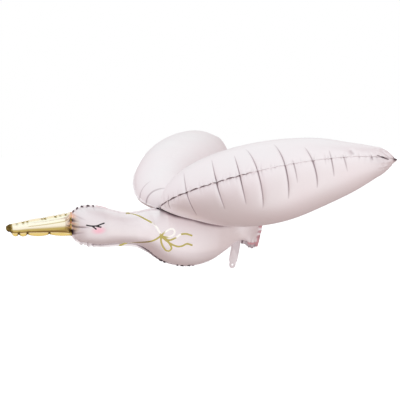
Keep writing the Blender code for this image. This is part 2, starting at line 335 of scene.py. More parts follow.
def wingAxes(side, share):
    # middle line of a wing and its directions at places along it
    sweep, rise = math.radians(wing["sweep"]), math.radians(wing["dihedral"])
    axis = np.array([math.sin(sweep) * math.cos(rise),
                     side * math.cos(sweep) * math.cos(rise), math.sin(rise)])
    forward = np.array([-math.cos(sweep), side * math.sin(sweep), 0])
    upward = np.cross(axis, forward)
    upward *= math.copysign(1, upward[2])
    pitch = np.radians(wing["pitch"] + wing["twist"] * share)[..., None]
    chordWay = forward * np.cos(pitch) + upward * np.sin(pitch)
    faceWay = upward * np.cos(pitch) - forward * np.sin(pitch)
    root = np.array([wing["rootBack"], side * wing["rootApart"], 0])
    full = np.sin(math.pi * share)[..., None]
    drop = np.exp(-(share / wing["dropReach"]) ** 2)[..., None]
    centre = (root + axis * (share * wing["length"])[..., None] + chordWay * wing["bow"] * full
              - upward * (wing["sink"] * full + wing["rootDrop"] * drop))
    return centre, axis, chordWay, faceWay


def creaseProfile(away, sharp=0.0028, broad=0.014):
    # section of a crease: a sharp valley in a shallow hollow
    return 0.62 * np.exp(-np.abs(away) / sharp) + 0.38 * np.exp(-(away / broad) ** 2)


def creaseFade(arc, reach):
    # full depth beside the seam, dying out towards the crease's end
    return np.clip(1 - (arc / reach) ** 2, 0, 1) ** 0.8


def wingRings(anchors):
    # places of the rings, closer together at both ends and round the creases
    fine = np.linspace(0, 1, 40001) ** 2
    fine = np.unique(np.concatenate([fine / 2, 1 - fine / 2]))
    crowd = 0.5 * fine + 0.22 * fine ** 0.46 - 0.28 * (1 - fine) ** 0.68
    for anchor in anchors:
        crowd += 0.016 * np.tanh((fine - anchor) * wing["length"] / 0.006)
    return spacedPlaces(fine, crowd, wing["rings"])


def makeWing(name, side, creases, grooves, seed):
    cols = pillowColumns(wing["faceColumns"])
    piece, ring, column = addBall(name, wing["rings"], cols["count"])
    angle, sign, lip, end, flat = (cols[key] for key in ("angle", "sign", "lip", "end", "flat"))
    lipWidth = seam["lip"]
    inner = wing["length"] - 2 * lipWidth
    random = np.random.default_rng(seed)

    def face(share, height, shape, swells):
        closing = np.sqrt(np.clip((1 - share) / wing["tipRound"], 0, 1))
        swell = sum(amount * bump(share, middle, reach) for middle, reach, amount in swells)
        return height * (leaf(share, shape) + swell * closing * np.clip(share / 0.03, 0, 1))

    def sizes(share):
        half = (wing["chord"] / 2 - lipWidth) * leaf(share, wing["chordLeaf"])
        if side > 0:
            full = wing["farFull"] * bump(share, wing["farFullAt"], wing["farFullReach"])
            half = half + full * np.clip(share / 0.02, 0, 1)
        up = face(share, wing["rise"], wing["riseLeaf"], wing["upperSwells"])
        down = face(share, wing["sag"], wing["sagLeaf"], wing["lowerSwells"])
        return half, np.where(sign > 0, up, np.where(sign < 0, down, 0))

    # where each crease runs on every column, over the front and over the back of the wing
    table = np.array(creases, float) / 1000
    anchor = (table[:, 0] - lipWidth) / inner
    bend = 0.1               # leans and bows are given for each 100 mm
    frontRun, backRun, backFold = [], [], []
    for place, lean, bow, above, below, depth in table:
        share = np.full(cols["count"], (place - lipWidth) / inner)
        half, bulge = sizes(share)
        reach = np.where(sign > 0, above, below) + 0.02
        arc = sign * np.minimum(arcFromSeam(half, bulge, angle), reach) / bend
        frontRun.append(place + lean * arc + bow * arc ** 2)
        arc = sign * np.minimum(arcFromSeam(half, bulge, math.pi - angle), 0.1) / bend
        shift, lean, bow = random.uniform(-0.014, 0.014), *random.uniform(-0.012, 0.012, 2)
        backRun.append(place + shift + lean * arc + bow * arc ** 2)
        backFold.append((*random.uniform(0.035, 0.125, 2), depth * random.uniform(0.6, 1.0)))
    frontRun, backRun = np.array(frontRun), np.array(backRun)
    ease = np.clip((angle / math.pi - 0.35) / 0.3, 0, 1)
    ease = ease ** 2 * (3 - 2 * ease)
    follow = ((1 - ease) * frontRun + ease * backRun - lipWidth) / inner

    # every ring bends along with the creases next to it
    places = wingRings(anchor)
    share = np.empty((wing["rings"] + 1, cols["count"]))
    for number in range(cols["count"]):
        share[:, number] = np.interp(places, [0, *anchor, 1], [0, *follow[:, number], 1])
    share = np.clip(share, 1e-9, 1 - 1e-9)
    half, bulge = sizes(share)
    along = lipWidth + share * inner
    fromFront = arcFromSeam(half, bulge, angle)
    fromBack = arcFromSeam(half, bulge, math.pi - angle)

    pressed = np.zeros_like(share)
    shade = np.zeros_like(share)
    # each crease and each back fold also gets a painted shade line along its valley
    for row, run, backward, foldShade in zip(table, frontRun, backRun, backFold):
        above, below, depth = row[3:]
        reach = np.where(sign > 0, above, np.where(sign < 0, below, (above + below) / 2))
        fade = creaseFade(fromFront, reach) * (angle < 2.2)
        pressed += depth * fade ** 1.5 * creaseProfile(along - run)
        dark = np.where(sign > 0, 0.85, 1.2) * fade ** 0.45 * min(depth / 0.0055, 1)
        shade += dark * (1 - 0.7 * lip) * np.exp(-((along - run) / 0.0032) ** 2)
        reach = np.where(sign > 0, foldShade[0], foldShade[1])
        fade = creaseFade(fromBack, reach) * (angle > 0.9)
        pressed += foldShade[2] * fade * creaseProfile(along - backward)
        shade += fade * np.exp(-((along - backward) / 0.003) ** 2) * 0.8
    cuts = np.zeros_like(share)
    for groove in grooves:
        fromPlace, fromArc, toPlace, toArc, width, depth = np.array(groove[:6]) / 1000
        step = np.array([toPlace - fromPlace, toArc - fromArc])
        x, v = along - fromPlace, sign * fromFront - fromArc
        run = np.clip((x * step[0] + v * step[1]) / (step @ step), 0, 1)
        away = np.hypot(x - run * step[0], v - run * step[1])
        cuts += depth * np.exp(-(away / width) ** 2) * (angle < 1.5)
        # painted shade along the groove
        shade += groove[6] * np.exp(-(away / width * 1.5) ** 2) * (angle < 1.5)

    front = seamFolds(0.03, wing["length"] - 0.02, seam["foldSpacing"], seed + 1)
    rear = seamFolds(0.03, wing["length"] - 0.02, seam["foldSpacing"], seed + 2)
    small = (foldDepth(along, fromFront, front, seam["foldReach"], wing["foldWidth"])
             + foldDepth(along, fromBack, rear, seam["foldReach"], wing["foldWidth"]))
    taper = np.clip(np.minimum(along, wing["length"] - along) / 0.06, 0, 1)
    atTip = np.clip((share - wing["crumpleFrom"]) / 0.03, 0, 1) * np.clip((1 - share) / 0.01, 0, 1)
    facets = np.abs(np.sin(along / 0.0058 + fromFront / 0.0094)
                    + np.sin(along / 0.0083 - fromFront / 0.0061))
    pressed = ((pressed + wing["foldDepth"] * small) * taper + cuts
               + wing["crumple"] * facets * atTip)
    calm = np.interp(along, [wing["calmFrom"] - 0.03, wing["calmFrom"] + 0.04], [1, 0.3])
    calm = np.where((end > 0) & (side < 0), calm, 0.5)
    sway = np.where(end > 0, seamSway(along, front), seamSway(along, rear))
    sway = sway * wing["sway"] * taper * calm

    centre, axis, chordWay, faceWay = wingAxes(side, along / wing["length"])
    slope = (wing["chord"] / 2 - lipWidth) * leafSlope(share, wing["chordLeaf"]) / inner
    steep = np.sqrt(1 + slope ** 2)
    across = half * np.cos(angle)
    out = sign * (bulge * np.sin(angle) + seam["halfThickness"])
    inwardAcross, inwardOut = inwardWays(cols, half, bulge, wing["seamPull"])
    across = across + inwardAcross * pressed
    out = out + sign * inwardOut * pressed + sway * lip
    narrow = np.interp(along, [wing["calmFrom"], wing["calmFrom"] + 0.05], [1, wing["calmRim"]])
    narrow = np.where((end > 0) & (side < 0), narrow, 1)
    across = across + lip * lipWidth * end / steep * narrow
    outward = -lip * lipWidth * slope / steep * narrow
    spots = (centre + chordWay * across[..., None] + faceWay * out[..., None]
             + axis * outward[..., None])
    spots[0] = centre[0] - axis * lipWidth
    spots[-1] = centre[-1] + axis * lipWidth

    # both wings are flattened where they press on each other, at the middle plane
    room = side * spots[..., 1]
    spots[..., 1] = side * (0.0004 + (room + np.hypot(room, wing["pressRound"])) / 2)
    # painted shade in dashes under the leading rim, bold near the left wing's root
    gaps = sum(bump(along, place, wing["dashGapWidth"]) for place in front["place"][::wing["dashGap"]])
    bold = np.interp(along, [0.05, 0.12, wing["calmFrom"] - 0.03, wing["calmFrom"]],
                     [1.4, 1.7, 1.5, 0.4])
    shadeDashes = np.clip(1 - 1.4 * gaps, 0, 1) * (bold if side < 0 else 0.1)
    under = (end > 0) & (lip < 0.55) & (sign < 0)
    shade = 0.8 * shade + np.where(under, shadeDashes * bump(fromFront, 0, wing["dashHeight"]), 0)
    # painted shade in the small folds beside the seams
    shade += 0.5 * small * taper * ~flat
    # painted shade in the hollow where both wings and the back meet, and on the knot at the tip
    shade += 4 * bump(np.linalg.norm(spots - [0.002, 0, 0], axis=-1), 0, wing["hollow"])
    shade += 1.75 * np.clip(1 - (wing["length"] - lipWidth - along) / wing["tipKnot"], 0, 1)
    # painted shade on the lower face near the tip
    shadeFrom, shadeFull = wing["tipShadeSpan"]
    tipShadeRamp = np.clip((share - shadeFrom) / (shadeFull - shadeFrom), 0, 1)
    shade += wing["tipShade"] * tipShadeRamp * (sign < 0) * ~flat
    # painted highlight along the flat rims, strongest at their outer edge
    rimHighlight = np.broadcast_to(np.clip(lip * 1.5, 0, 1), share.shape)
    return finishPiece(piece, spots, ring, column, {"foldShade": np.clip(shade, 0, 2), "rimHighlight": rimHighlight})


leftWing = makeWing("left_wing_foil", -1, leftCreases, leftGrooves, 11)
rightWing = makeWing("right_wing_foil", 1, rightCreases, rightGrooves, 23)

# Body, head, neck and tail

bodyFolds = {
    "depth": 0.0050, "width": 0.0050, "reach": 0.046, "sway": 0.0042,
    "tuckSway": 0.0045, "greyShade": 0.27,
    # painted shade greys the lower skin: degrees round from the top seam, and how far along it ends
    "lowTurn": (103, 118), "lowUntil": 0.80, "lowFade": 0.12,
    "weldDepth": 0.0045, "weldWidth": 0.0034,
    "tailDepth": 0.0034, "tailReach": 0.060, "tailWidth": 0.0055, "tailSpacing": 0.026,
    "tailWave": 0.0030, "tailWaveStep": 0.0105, "tailWaveReach": 0.012,
    "napeShine": (0.104, 0.172),     # between these places the nape's rim gets the painted reddish reflection
    # heights in mm of the painted highlights and the painted shade on the tail's reddish weld
    "tailShines": [-133, -155], "tailShades": [-117, -143, -170],
    # painted shade line along the foot of the lower rim: places in metres and darkness
    "footPlaces": [0.07, 0.10, 0.30, 0.345, 0.41, 0.43, 0.47, 0.62, 0.70, 0.80],
    "footShade": [0.0, 0.8, 0.6, 2.0, 2.6, 1.5, 0.7, 0.5, 0.5, 0.2],
    "footReach": 0.0042,     # how far it reaches up the face
    "seamDark": 0.0028,      # how far from a seam the painted shade of its tucks reaches over the face
    "seamPull": 0.3,         # share of a fold's depth by which it pulls the seam in
    "settle": 0.0006,        # clearance of the back from the wings that press on it
    "hollow": 0.009,         # reach of the painted shade in the hollow at the notch
    "pleatReach": 0.008,     # how far the weld's dark pleats run back over the head
    "goldReflection": 0.85, "glowReach": (0.015, 0.004),   # painted gold reflection in patches, and all along the weld
}

# The dark line on the body below the wings, stored as a mark, in mm: its places behind the
# notch, how far from the wings it lies there, and how dark it is.
shadowLine = {
    "places": [-20, 0, 40, 80, 130, 210, 250, 300, 350, 400],
    "gaps": [0, 0, 1, 1, 4, 26, 43, 71, 106, 148],
    "dark": [0.6, 2.4, 2.4, 1.7, 1.6, 1.5, 1.1, 0.6, 0.3, 0],
    "fadeDown": 7, "fadeUp": 24,             # away from the wing, and back towards it
    "search": 150,           # foil further than this from both wings has no shadow line
}

# Tucks of the rim with painted shade, in mm: place along, side (1 top, -1 bottom), half length, darkness
rimTucks = [
    (8, 1, 5, 2.0), (26, 1, 5, 1.8), (48, 1, 6, 1.8), (76, 1, 7, 1.8), (100, 1, 4, 1.6),
    (13, -1, 4, 0.3), (41, -1, 6, 0.5), (75, -1, 6, 0.45),
    (419, -1, 7, 2.0), (438, -1, 6, 1.5), (503, -1, 4, 1.6), (527, -1, 7, 1.8),
    (561, -1, 7, 1.9), (583, -1, 4, 1.1), (846, -1, 8, 1.4),
]

# Streaks that run back from the beak's weld over the cheek, in mm: height above the weld's
# middle, length, rise for each 100 mm, darkness of the painted shade along them
weldStreaks = [
    (17, 24, 0, 0.9), (46, 48, -50, 0.6), (31, 36, -20, 0.35), (-9, 62, 3, 1.5),
    (-23, 22, 0, 0.7), (-41, 40, 25, 0.7), (4, 20, 10, 0.5),
]
# In mm from the weld's middle: pleats with painted shade (height, half height, darkness) on
# both sides of the weld, and where a painted reflection of the beak's gold warms the foil
# beside it (height, reach)
weldPleats = [(21, 7, 1.7), (-3, 4.5, 1.3), (-32, 12, 2.2)]
goldGlow = [(37, 14), (5, 6), (-16, 6)]

# Single creases of the body, in mm: place along, side it starts from (1 top, -1 bottom),
# reach, lean over 100 mm, depth
bodyCreases = [
    (97, 1, 44, -8, 1.2),
    (66, 1, 26, 12, 0.7),
    (60, -1, 36, 20, 2.2),
    (96, -1, 30, 10, 1.8),
    (560, -1, 52, 4, 3.0),
    (640, -1, 46, -6, 3.0),
    (735, -1, 60, -22, 3.4),
    (812, 1, 40, 8, 3.0),
]


def endFolds(height, away, spacing, reach, width, seed):
    # folds that run in from an upright weld, pressing at certain heights
    folds = seamFolds(-0.11, 0.11, spacing, seed)
    return foldDepth(height, away, folds, reach, width)


def weldDark(height, along, reach):
    # painted shade of the pleats beside the weld between head and beak, dying out away from it; the beak
    # is also pressed in by it
    near = sum(dark * bump(height, level / 1000, tall / 1000) for level, tall, dark in weldPleats)
    return near * bump(along, 0, reach)


def weldWave(height, along):
    # the flat weld between head and beak waves the same way on both
    wave = seam["weldWave"] * np.sin(height / seam["weldWaveStep"])
    return wave * bump(along, 0, seam["weldWaveReach"])


def lineShade(place, gap):
    # darkness of the shadow line, from mm behind the notch and mm from the wings
    edge = np.interp(place, shadowLine["places"], shadowLine["gaps"])
    dark = np.interp(place, shadowLine["places"], shadowLine["dark"])
    down = max(gap - edge, 0) / shadowLine["fadeDown"]
    up = max(edge - gap, 0) / shadowLine["fadeUp"]
    return dark * math.exp(-down - up ** 2)


def bodyPlace(along):
    # the puffed body inside its rims, without folds, at places along it
    top = bodyHeight(1, along) - seam["lip"]
    bottom = bodyHeight(2, along) + curveValue(body["lowerRim"], 1, along)
    half = (top - bottom) / 2
    stripless = ((along * body["length"] - body["headStrip"])
                 / (body["length"] - body["headStrip"] - body["tailStrip"]))
    bulge = np.where((stripless > 0) & (stripless < 1),
                     bodyHeight(3, np.clip(stripless, 0, 1)), 0)
    lean = body["tailSlant"] * np.maximum(along - body["slantFrom"], 0) / (1 - body["slantFrom"])
    return {"x": (along - body["notchAlong"]) * body["length"], "middle": (top + bottom) / 2,
            "half": half, "bulge": bulge, "lean": lean}


def skinOut(sine, upper, along):
    # how far out the skin lies as a share of the half width, fuller above under the wings
    inside = np.minimum(along - body["fullFrom"], body["fullTo"] - along)
    pressed = np.clip(inside / 0.06, 0, 1) * upper
    return sine ** (1 + body["wedge"] * (1 - pressed) - body["full"] * pressed)


def wingFloor(x, y):
    # height of the wings' underside over a point, or nothing
    lowest = None
    for tree in wingTrees:
        for dodge in (0, -0.007, 0.007):
            spot = tree.ray_cast(Vector((x, y + dodge, -1)), Vector((0, 0, 1)))[0]
            if spot is not None and (lowest is None or spot.z < lowest):
                lowest = spot.z
    return lowest


def makeBody():
    cols = pillowColumns(body["faceColumns"])
    piece, ring, column = addBall("body_foil", body["rings"], cols["count"])
    angle, sign, lip, end, flat = (cols[key] for key in ("angle", "sign", "lip", "end", "flat"))
    fine = np.linspace(0, 1, 20001)
    crowd = fine + 0.10 * fine ** 0.5 - 0.06 * (1 - fine) ** 0.5
    for first, last, gain in body["fineStretches"]:
        crowd = crowd + gain * (np.clip(fine, first, last) - first)
    places = spacedPlaces(fine, crowd, body["rings"])
    places[1], places[-2] = 1e-5, 1 - 1e-5
    share = np.repeat(places[:, None], cols["count"], 1)
    plain = bodyPlace(share)
    half, bulge = plain["half"], plain["bulge"]
    along = share * body["length"]
    fromTop = arcFromSeam(half, bulge, angle)
    fromBottom = arcFromSeam(half, bulge, math.pi - angle)
    height = half * np.cos(angle)
    rimWidth = np.where(end > 0, seam["lip"], curveValue(body["lowerRim"], 1, share))
    pucker = np.clip(curveValue(body["outline"], 4, share), 0, 1)

    top = seamFolds(0.004, body["length"], seam["foldSpacing"] * 0.9, 5)
    bottom = seamFolds(0.004, body["length"], seam["foldSpacing"] * 0.9, 6)
    topDepth = foldDepth(along, fromTop, top, bodyFolds["reach"], bodyFolds["width"])
    lowDepth = foldDepth(along, fromBottom, bottom, bodyFolds["reach"], bodyFolds["width"])
    pressed = bodyFolds["depth"] * pucker * (topDepth + lowDepth)
    # painted shade in the puckers beside both seams, stronger below
    shade = pucker * (0.15 * topDepth + 0.5 * lowDepth)
    for place, side, reach, lean, depth in bodyCreases:
        arc = fromTop if side > 0 else fromBottom
        away = along - place / 1000 - lean / 100 * arc
        fade = creaseFade(arc, reach / 1000) * (end == side)
        pressed += depth / 1000 * fade * creaseProfile(away, 0.002, 0.008)
        # painted shade along each crease
        shade += 0.8 * fade * np.exp(-(away / 0.0025) ** 2) * min(depth / 3, 1)
    fromWeld = plain["middle"] + height - plain["middle"][0, 0]
    for level, length, rise, dark in weldStreaks:
        fade = np.clip(1 - along * 1000 / length, 0, 1) ** 0.8
        near = fade * bump(fromWeld, level / 1000 + rise / 100 * along, bodyFolds["weldWidth"])
        pressed += bodyFolds["weldDepth"] * dark * near
        # painted shade along each streak
        shade += 0.8 * dark * near
    tail = endFolds(height, body["length"] - along, bodyFolds["tailSpacing"],
                    bodyFolds["tailReach"], bodyFolds["tailWidth"], 4)
    pressed += bodyFolds["tailDepth"] * tail
    # painted shade in the tail's folds
    shade += 0.5 * tail

    # painted shade greys the head, the lower skin as far as the belly, and the tail a little
    shadeFrom, shadeFull = bodyFolds["lowTurn"]
    low = np.clip((np.degrees(angle) - shadeFrom) / (shadeFull - shadeFrom), 0, 1)
    low = low * np.clip((bodyFolds["lowUntil"] - share) / bodyFolds["lowFade"], 0, 1)
    greyShade = np.clip(np.maximum((0.170 - along) / 0.040, (share - 0.86) / 0.05), 0, 1)
    shade += bodyFolds["greyShade"] * np.maximum(low, greyShade) * ~flat
    tucked = np.zeros_like(share)
    for place, side, reach, dark in rimTucks:
        near = np.exp(-(np.abs(along - place / 1000) / (reach / 1000)) ** 4) * (end == side)
        tucked += near * min(2 * dark, 1)
        arc = fromTop if side > 0 else fromBottom
        # painted shade in each tuck, over the rim and the face beside it
        shade += dark * near * np.where(flat, 1, bump(arc, 0, bodyFolds["seamDark"]))
    # painted shade line along the foot of the lower rim
    foot = np.interp(along, bodyFolds["footPlaces"], bodyFolds["footShade"])
    lowRim = flat & (end < 0)
    reach = bodyFolds["footReach"]
    shade += foot * np.where(lowRim, np.where(lip < 0.3, 1, 0.3), bump(fromBottom, 0, reach))
    pleats = weldDark(fromWeld, along, bodyFolds["pleatReach"])
    # painted shade in the weld's pleats
    shade += pleats
    swaying = np.where(end > 0, seamSway(along, top), seamSway(along, bottom))
    sway = (swaying * bodyFolds["sway"] * pucker + bodyFolds["tuckSway"] * tucked) * lip
    tailWave = bodyFolds["tailWave"] * np.sin(height / bodyFolds["tailWaveStep"])
    tailWave = tailWave * bump(along, body["length"], bodyFolds["tailWaveReach"])
    inwardAcross, inwardOut = inwardWays(cols, half, bulge, bodyFolds["seamPull"])
    across = height + inwardAcross * pressed
    out = bulge * skinOut(np.where(flat, 0, np.sin(angle)), angle < math.pi / 2, share)
    out = np.maximum(out + inwardOut * pressed, 0) + seam["halfThickness"]
    out = sign * out + sway + weldWave(height, along) + tailWave
    scallop = 1 - 0.3 * pucker * np.where(end > 0, topDepth, lowDepth)
    scallop = scallop + np.where(end > 0, 0, 0.6) * tucked
    across = across + lip * end * rimWidth * np.clip(scallop, 0.3, 1.3)
    x = plain["x"] + plain["lean"] * across
    spots = np.stack([x, out, plain["middle"] + across], -1)
    spots[0] = (plain["x"][0, 0], 0, plain["middle"][0, 0])
    spots[-1] = (plain["x"][-1, 0], 0, plain["middle"][-1, 0])

    # the back is pressed down under the wings, and the shadow line is added to its mark
    for i, j in zip(*np.nonzero((spots[..., 2] > -0.16) & (spots[..., 0] > -0.05))):
        floor = wingFloor(*(spots[i, j, :2] + notch[:2]))
        if floor is not None:
            spots[i, j, 2] = min(spots[i, j, 2], floor - notch[2] - bodyFolds["settle"])
        spot = Vector(spots[i, j] + notch)
        gaps = [tree.find_nearest(spot, shadowLine["search"] / 1000)[3] for tree in wingTrees]
        gap = min((gap for gap in gaps if gap is not None), default=1)
        shade[i, j] += lineShade(spots[i, j, 0] * 1000, gap * 1000)
    # painted shade in the hollow at the notch
    fromHollow = np.linalg.norm(spots - [0.002, 0, -0.004], axis=-1)
    shade += 4 * bump(fromHollow, 0, bodyFolds["hollow"])

    # painted reddish reflection on the tail's weld, the line over its fin and the nape's rim
    # painted highlight along the flat rims
    rimHighlight = np.broadcast_to(np.clip(lip * 1.5, 0, 1), share.shape)
    strip = np.clip(2.2 - (body["length"] - along) / (0.6 * body["tailStrip"]), 0, 1)
    # painted highlights on the tail's weld at the shine heights
    paintedGlint = sum(bump(spots[..., 2], level / 1000, 0.006) for level in bodyFolds["tailShines"])
    dark = sum(bump(spots[..., 2], level / 1000, 0.005) for level in bodyFolds["tailShades"])
    reddishReflection = strip * (0.75 - 0.7 * paintedGlint)
    # painted shade in bands across the tail's weld
    shade += 0.8 * strip * dark
    overFin = flat & (end < 0) & (lip < 0.3) & (share > 0.925)
    reddishReflection = np.maximum(reddishReflection, np.where(overFin, 0.8, 0))
    napeFrom, napeTo = bodyFolds["napeShine"]
    nape = np.clip(np.minimum(along - napeFrom, napeTo - along) / 0.012, 0, 1)
    reddishReflection = np.maximum(reddishReflection, 0.45 * nape * flat * (end > 0) * (lip > 0.4))
    # painted shade greys the fin below the tail, darkest at its edge
    fin = flat & (end < 0) & (share > 0.90)
    shade += np.where(fin, 0.6 + 0.4 * lip ** 3, 0)
    # painted reflection of the beak's gold on the foil beside the weld; it also lightens the painted shade
    # there
    goldReflection = sum(bump(fromWeld, level / 1000, reach / 1000) for level, reach in goldGlow)
    patchReach, weldReach = bodyFolds["glowReach"]
    goldReflection = np.maximum(goldReflection * bump(along, 0, patchReach), 0.8 * bump(along, 0, weldReach))
    goldReflection = bodyFolds["goldReflection"] * np.clip(goldReflection, 0, 1) * (1 - np.clip(pleats, 0, 1))
    shade = shade * (1 - 0.7 * goldReflection)
    # the fold mark holds painted shade; the rim, reddish and glow marks hold painted highlight and painted
    # reflection
    marks = {"foldShade": np.clip(shade, 0, 2), "rimHighlight": rimHighlight, "reddishReflection": np.clip(reddishReflection, 0, 1),
             "goldReflection": goldReflection}
    marks |= printMarks(spots)
    return finishPiece(piece, spots, ring, column, marks)


# Prints on both sides of the head and breast, in mm from the notch: place along and height

prints = {
    "eyeWidth": 2.9,         # half widths of the lines
    "goldWidth": 4.2,
    "eye": [
        [(-362, -52.5), (-351, -55), (-338, -56.5), (-325, -56.5), (-315, -55), (-302, -50.5),
         (-287, -46.5)],
        [(-340, -56.5), (-333, -62.5), (-323, -70.5)],
        [(-324, -56.5), (-313, -60.5), (-302, -62.5)],
    ],
    "gold": [
        [(-154, -19.5), (-130, -22), (-109, -29), (-88, -42), (-60, -61), (-43, -82), (-28, -115)],
        [(-188, -160), (-176, -157.5), (-160, -152.5), (-128, -148.5), (-92, -146), (-65, -140.5),
         (-45, -129), (-28, -115)],
        [(-28, -115), (-26, -140), (-16, -163), (1, -184), (16, -188), (23, -174), (9, -150),
         (-10, -133), (-28, -115)],
        [(-28, -115), (-20, -108), (-5, -97), (18, -87), (34, -96), (28, -113), (8, -122),
         (-14, -121), (-28, -115)],
        [(-28, -115), (-14, -127), (8, -137), (35, -129), (59, -115), (88, -113), (115, -122)],
        [(-28, -115), (-14, -130), (14, -152), (46, -167), (69, -167), (92, -158), (117, -166)],
    ],
    "blush": (-312, -77, 36, 20),      # middle and half sizes
    # painted highlight where the ribbon glints white: middle and reach
    "paintedGlint": [(-54, -70, 16), (-40, -92, 16), (16, -100, 28), (54, -121, 12)],
}


def roundedLine(points, steps=14):
    # a smooth line through given points
    spots = np.array([points[0], *points, points[-1]], float)
    line = []
    for a, b, c, d in zip(spots, spots[1:], spots[2:], spots[3:]):
        for t in np.arange(steps) / steps:
            line.append(0.5 * (2 * b + (c - a) * t + (2 * a - 5 * b + 4 * c - d) * t ** 2
                               + (3 * b - a - 3 * c + d) * t ** 3))
    return np.array([*line, spots[-1]])


def onSkin(line):
    # lays a side-view line on the body's left side
    x, z = line.T / 1000
    along = x / body["length"] + body["notchAlong"]
    plain = bodyPlace(along)
    cosine = np.clip((z - plain["middle"]) / plain["half"], -1, 1)
    out = plain["bulge"] * skinOut(np.sqrt(1 - cosine ** 2), cosine > 0, along)
    return np.stack([x, out, z], -1)


def printMarks(spots):
    # distance in mm from every vertex to the printed lines, the same on both sides
    skin = spots * [1, 0, 1] + np.abs(spots) * [0, 1, 0]
    marks = {}
    for name in ("eye", "gold"):
        points = np.concatenate([onSkin(roundedLine(line)) for line in prints[name]])
        tree = KDTree(len(points))
        for number, point in enumerate(points):
            tree.insert(point, number)
        tree.balance()
        low, high = points.min(0) - 0.03, points.max(0) + 0.03
        near = np.all((skin > low) & (skin < high), -1)
        away = np.full(spots.shape[:2], 30.0)
        for i, j in zip(*np.nonzero(near)):
            away[i, j] = tree.find(skin[i, j])[2] * 1000
        marks[name + "Away"] = away
    x, z, wide, tall = np.array(prints["blush"]) / 1000
    marks["blushAway"] = np.hypot((spots[..., 0] - x) / wide, (spots[..., 2] - z) / tall)
    # painted highlight on the ribbon where it glints
    marks["paintedGlint"] = sum(bump(np.hypot(spots[..., 0] * 1000 - x, spots[..., 2] * 1000 - z), 0, reach)
                         for x, z, reach in prints["paintedGlint"])
    return marks


def treeOf(piece):
    mesh = piece.data
    return BVHTree.FromPolygons([vert.co for vert in mesh.vertices],
                                [face.vertices for face in mesh.polygons])


wingTrees = [treeOf(leftWing), treeOf(rightWing)]
bodyFoil = makeBody()

# Beak

beak = {
    "length": 0.296,
    "outline": {             # as for the body, in shares of the weld's height
        "weld": (0.00, 0.500, -0.490, 0.000),
        "band": (0.03, 0.500, -0.460, 0.130),
        "base": (0.12, 0.470, -0.430, 0.310),
        "middle": (0.36, 0.385, -0.395, 0.300),
        "front": (0.70, 0.280, -0.350, 0.200),
        "chin": (0.885, 0.190, -0.310, 0.130),
        "knot": (0.930, 0.175, -0.190, 0.100),
        "tip": (1.00, 0.140, -0.120, 0.040),
    },
    "upperRim": {"weld": (0.0, 0.008), "front": (0.8, 0.007), "tip": (1.0, 0.002)},
    "lowerRim": {"weld": (0.0, 0.012), "middle": (0.3, 0.015), "chin": (0.88, 0.013),
                 "knot": (0.93, 0.003), "tip": (1.0, 0.002)},
    "strip": 0.005,          # flat gold foil at the weld
    "shortBy": 0.009,        # the crumpled tip draws back
    "rings": 260,
    "faceColumns": 56,
    # where the rims are gathered, in mm from the weld, with their strength
    "upperTucks": [(26, 0.8), (51, 0.5), (72, 0.9), (118, 0.9), (131, 0.6), (195, 0.8), (213, 1.0),
                   (240, 0.6)],
    "lowerTucks": [(-12, 0.3), (99, 1.0), (194, 1.0), (232, 1.0), (266, 0.7)],
    "tuckWidth": 0.0055, "tuckDepth": 0.0040, "tuckReach": 0.030,
    "upperSway": 0.0045, "lowerSway": 0.0080, "arc": 0.42,
    # painted reflections on the flank: places of the thin dark reflection line as shares of the
    # length, its turn from the top there in degrees, and the turns between which a darker painted
    # reflection deepens the gold
    "linePlaces": (0.03, 0.14, 0.62), "lineTurn": (50, 66, 76), "lineWidth": 4, "lineEnd": 0.72,
    "darkReflectionFrom": 88, "darkReflectionFull": 112,
    "crumpleFrom": 0.90, "crumple": 0.0030, "tipWave": 0.0040, "tipWaveStep": 0.0040,
    "seamPull": 0.5, "pleatReach": 0.009,        # as for the body
}


